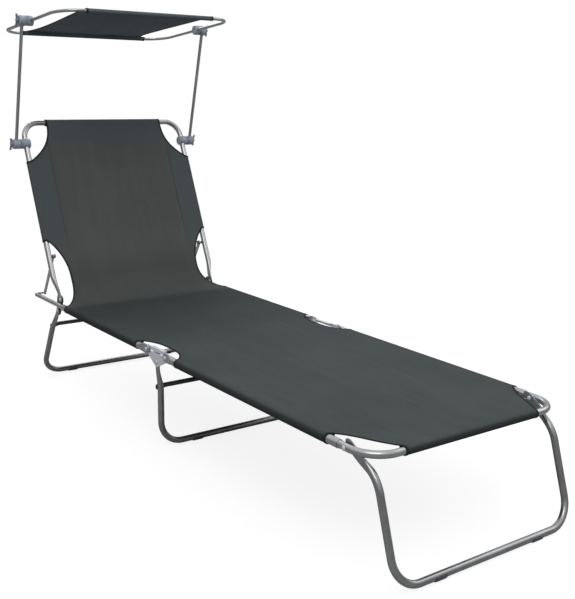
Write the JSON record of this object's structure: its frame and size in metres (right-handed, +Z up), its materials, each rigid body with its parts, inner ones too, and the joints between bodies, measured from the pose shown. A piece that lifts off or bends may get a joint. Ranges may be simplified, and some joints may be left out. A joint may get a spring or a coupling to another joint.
{
  "type": "sun lounger with canopy",
  "caption": "Folding sun lounger with a dark fabric sling on a bent steel tube frame, a leaning back and a small tilting canopy on arms clamped to the back",
  "frame": {"origin": "on the floor, under the middle of the lounger's bounding box", "axes": "+Y from the foot end to the head end, +Z up, X across the lounger"},
  "size_m": [0.6446, 1.824, 1.0937],
  "materials": {
    "tube_paint": "grey coated steel tube, satin",
    "zinc": "zinc plated sheet steel and rivets",
    "dark_plate": "dark coated sheet steel",
    "prop_steel": "plain steel flat bar",
    "sling_fabric": "dark grey woven textile",
    "canopy_fabric": "dark grey woven textile",
    "foot_plastic": "dark moulded plastic",
    "clamp_plastic": "blue-grey moulded plastic"
  },
  "bodies": {
    "seat": {"seat_rail_right": "tube_paint", "seat_rail_left": "tube_paint", "tail_tube_right": "tube_paint", "tail_tube_left": "tube_paint", "hinge_plate_right": "dark_plate", "hinge_plate_left": "dark_plate", "rear_leg_rivet_right": "zinc", "rear_leg_rivet_left": "zinc", "seat_sling": "sling_fabric"},
    "mid_hinge": {"mid_plate_right": "zinc", "mid_plate_left": "zinc", "mid_seat_pin_right": "zinc", "mid_seat_pin_left": "zinc", "mid_foot_pin_right": "zinc", "mid_foot_pin_left": "zinc", "mid_leg_rivet_right": "zinc", "mid_leg_rivet_left": "zinc", "mid_sling": "sling_fabric"},
    "foot": {"foot_rail_right": "tube_paint", "foot_rail_left": "tube_paint", "foot_end_tube": "tube_paint", "foot_sling": "sling_fabric", "front_leg_rivet_right": "zinc", "front_leg_rivet_left": "zinc"},
    "front_leg": {"front_leg": "tube_paint", "front_foot_sleeve_right": "foot_plastic", "front_foot_sleeve_left": "foot_plastic"},
    "mid_leg": {"mid_leg": "tube_paint", "mid_crossbar": "tube_paint", "mid_foot_sleeve_right": "foot_plastic", "mid_foot_sleeve_left": "foot_plastic"},
    "rear_leg": {"rear_leg": "tube_paint", "rear_crossbar": "tube_paint", "rear_foot_sleeve_right": "foot_plastic", "rear_foot_sleeve_left": "foot_plastic"},
    "back_hinge": {"back_hinge_pin_right": "zinc", "back_hinge_pin_left": "zinc"},
    "back": {"back_frame": "tube_paint", "back_sling": "sling_fabric", "prop_pivot_right": "dark_plate", "prop_pivot_left": "dark_plate", "lower_clamp_inner_right": "clamp_plastic", "lower_clamp_inner_left": "clamp_plastic"},
    "props": {"prop_arm_right": "prop_steel", "prop_arm_left": "prop_steel"},
    "canopy_arms": {"canopy_arm_right": "tube_paint", "canopy_arm_left": "tube_paint", "lower_clamp_outer_right": "clamp_plastic", "lower_clamp_outer_left": "clamp_plastic", "upper_clamp_outer_right": "clamp_plastic", "upper_clamp_outer_left": "clamp_plastic"},
    "canopy": {"canopy_frame": "tube_paint", "canopy_cloth": "canopy_fabric", "upper_clamp_inner_right": "clamp_plastic", "upper_clamp_inner_left": "clamp_plastic"},
    "lower_wing_knob_right": {"lower_wing_knob_right": "clamp_plastic"},
    "lower_wing_knob_left": {"lower_wing_knob_left": "clamp_plastic"},
    "upper_wing_knob_right": {"upper_wing_knob_right": "clamp_plastic"},
    "upper_wing_knob_left": {"upper_wing_knob_left": "clamp_plastic"}
  },
  "joints": [
    {"name": "mid_hinge_fold", "type": "hinge", "parent": "seat", "child": "mid_hinge", "pos_m": [0, 0.01403, 0.252], "axis": [-1, 0, 0], "range_deg": [0, 75]},
    {"name": "foot_fold", "type": "hinge", "parent": "mid_hinge", "child": "foot", "pos_m": [0, -0.08097, 0.252], "axis": [-1, 0, 0], "range_deg": [0, 75]},
    {"name": "front_leg_fold", "type": "hinge", "parent": "foot", "child": "front_leg", "pos_m": [0, -0.76397, 0.252], "axis": [1, 0, 0], "range_deg": [0, 107]},
    {"name": "mid_leg_fold", "type": "hinge", "parent": "mid_hinge", "child": "mid_leg", "pos_m": [0, -0.02997, 0.228], "axis": [1, 0, 0], "range_deg": [0, 88]},
    {"name": "rear_leg_fold", "type": "hinge", "parent": "seat", "child": "rear_leg", "pos_m": [0, 0.57403, 0.23], "axis": [-1, 0, 0], "range_deg": [0, 114]},
    {"name": "back_tilt", "type": "hinge", "parent": "seat", "child": "back_hinge", "pos_m": [0, 0.55403, 0.267], "axis": [-1, 0, 0], "range_deg": [-8, 65]},
    {"name": "back_fold", "type": "hinge", "parent": "back_hinge", "child": "back", "pos_m": [0, 0.55403, 0.267], "axis": [-1, 0, 0], "range_deg": [-80, 0]},
    {"name": "prop_swing", "type": "hinge", "parent": "back", "child": "props", "pos_m": [0, 0.61547, 0.38623], "axis": [-1, 0, 0], "range_deg": [-122.8, 15.1]},
    {"name": "canopy_swing", "type": "hinge", "parent": "back", "child": "canopy_arms", "pos_m": [0, 0.7567, 0.70763], "axis": [1, 0, 0], "range_deg": [-150, 95]},
    {"name": "canopy_tilt", "type": "hinge", "parent": "canopy_arms", "child": "canopy", "pos_m": [0, 0.67896, 1.06118], "axis": [1, 0, 0], "range_deg": [-90, 90]},
    {"name": "lower_knob_turn_right", "type": "hinge", "parent": "canopy_arms", "child": "lower_wing_knob_right", "pos_m": [-0.32, 0.7567, 0.70763], "axis": [1, 0, 0], "continuous": true},
    {"name": "lower_knob_turn_left", "type": "hinge", "parent": "canopy_arms", "child": "lower_wing_knob_left", "pos_m": [0.32, 0.7567, 0.70763], "axis": [1, 0, 0], "continuous": true},
    {"name": "upper_knob_turn_right", "type": "hinge", "parent": "canopy_arms", "child": "upper_wing_knob_right", "pos_m": [-0.32, 0.67896, 1.06118], "axis": [1, 0, 0], "continuous": true},
    {"name": "upper_knob_turn_left", "type": "hinge", "parent": "canopy_arms", "child": "upper_wing_knob_left", "pos_m": [0.32, 0.67896, 1.06118], "axis": [1, 0, 0], "continuous": true}
  ],
  "couplings": [
    {"joint": "foot_fold", "follows": "mid_hinge_fold", "ratio": 1},
    {"joint": "prop_swing", "follows": "back_tilt", "ratio": -1.879}
  ]
}
